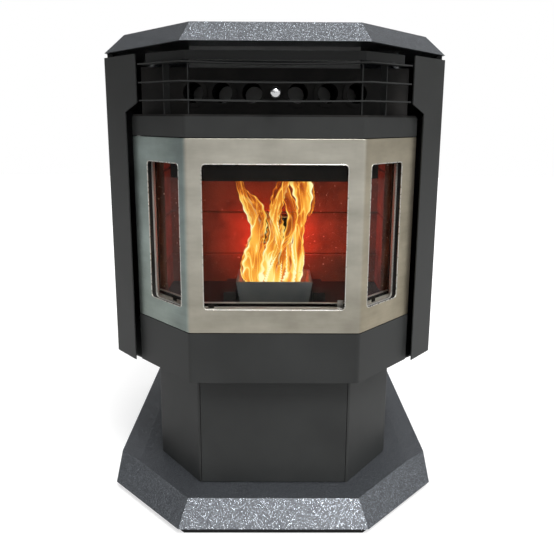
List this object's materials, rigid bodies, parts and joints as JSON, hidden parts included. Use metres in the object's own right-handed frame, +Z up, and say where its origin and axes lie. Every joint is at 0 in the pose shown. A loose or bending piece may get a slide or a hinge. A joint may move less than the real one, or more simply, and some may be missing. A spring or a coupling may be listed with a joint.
{
  "type": "pellet stove",
  "caption": "Free-standing pellet stove with a bay fire door, louvre grille over heat-exchanger tubes, hopper lid, pedestal and bevelled base.",
  "frame": {"origin": "on the floor, at the middle of the base outline", "axes": "+Z up, front of the stove towards -Y, +X to the right seen from the front"},
  "size_m": [0.61, 0.686, 0.8688],
  "materials": {
    "charcoal_paint": "satin powder coat",
    "flake_paint": "satin paint with fine metallic flake",
    "black_paint": "matte",
    "stove_black": "matte high-temperature paint",
    "stainless": "brushed",
    "ceramic_glass": "clear",
    "glass_rope": "braided",
    "firebrick": "rough speckled",
    "cast_iron": "rough",
    "plain_steel": "satin",
    "chrome": "polished",
    "black_plastic": "satin"
  },
  "bodies": {
    "cabinet": {"pedestal_shell": "charcoal_paint", "body_floor": "charcoal_paint", "skirt_panel": "charcoal_paint", "surround_panel": "charcoal_paint", "side_panel_left": "charcoal_paint", "side_panel_right": "charcoal_paint", "louvre_slat_low": "charcoal_paint", "louvre_slat_mid": "charcoal_paint", "louvre_slat_top": "charcoal_paint", "louvre_frame": "charcoal_paint", "base_plate": "flake_paint", "top_plate": "flake_paint", "base_plinth": "black_paint", "back_panel": "black_paint", "hopper_hinge": "black_paint", "top_frame": "black_paint", "exhaust_collar": "black_paint", "convection_housing": "black_paint", "air_intake": "black_paint", "firebox_shell": "stove_black", "exchanger_deck": "stove_black", "exchanger_tubes": "stove_black", "lintel": "stove_black", "burn_pot_holder": "stove_black", "back_brick": "firebrick", "side_brick_left": "firebrick", "side_brick_right": "firebrick", "burn_pot": "cast_iron", "sill_lip": "cast_iron", "igniter": "plain_steel", "latch_keeper": "plain_steel", "door_hinge_lower": "plain_steel", "door_hinge_upper": "plain_steel", "hopper": "plain_steel", "hopper_grate": "plain_steel", "auger_tube": "plain_steel", "auger_motor": "plain_steel", "drop_chute": "plain_steel", "combustion_housing": "plain_steel", "combustion_motor": "plain_steel", "convection_motor": "plain_steel", "control_panel": "black_plastic", "power_inlet": "black_plastic"},
    "door": {"door_face": "stainless", "door_frame": "stove_black", "window_gasket_left": "glass_rope", "window_gasket_centre": "glass_rope", "window_gasket_right": "glass_rope", "door_glass_left": "ceramic_glass", "door_glass_centre": "ceramic_glass", "door_glass_right": "ceramic_glass", "door_rope": "glass_rope"},
    "latch": {"door_latch": "plain_steel"},
    "hopper_lid": {"hopper_lid": "flake_paint"},
    "ash_drawer": {"ash_drawer": "charcoal_paint"},
    "scraper": {"tube_scraper": "plain_steel", "scraper_knob": "chrome"},
    "auger": {"auger_screw": "plain_steel"},
    "combustion_rotor": {"combustion_impeller": "plain_steel"},
    "convection_rotor": {"convection_wheel": "plain_steel"}
  },
  "joints": [
    {"name": "fire_door", "type": "hinge", "parent": "cabinet", "child": "door", "pos_m": [-0.23478, -0.17125, 0.5], "axis": [0, 0, -1], "range_deg": [0, 95]},
    {"name": "door_latch_turn", "type": "hinge", "parent": "door", "child": "latch", "pos_m": [0.24336, -0.1628, 0.5117], "axis": [0.6508, 0.7593, 0], "range_deg": [-80, 0]},
    {"name": "hopper_lid_hinge", "type": "hinge", "parent": "cabinet", "child": "hopper_lid", "pos_m": [0, 0.271, 0.8488], "axis": [-1, 0, 0], "range_deg": [0, 85]},
    {"name": "ash_drawer_slide", "type": "slide", "parent": "cabinet", "child": "ash_drawer", "axis": [0, -1, 0], "range_m": [0, 0.28]},
    {"name": "scraper_pull", "type": "slide", "parent": "cabinet", "child": "scraper", "axis": [0, -1, 0], "range_m": [0, 0.08]},
    {"name": "auger_turn", "type": "hinge", "parent": "cabinet", "child": "auger", "pos_m": [0, 0.181, 0.3377], "axis": [0, -0.7071, 0.7071], "continuous": true},
    {"name": "combustion_fan_turn", "type": "hinge", "parent": "cabinet", "child": "combustion_rotor", "pos_m": [-0.15, 0.177, 0.3457], "axis": [1, 0, 0], "continuous": true},
    {"name": "convection_fan_turn", "type": "hinge", "parent": "cabinet", "child": "convection_rotor", "pos_m": [0.14, 0.127, 0.3477], "axis": [1, 0, 0], "continuous": true}
  ]
}
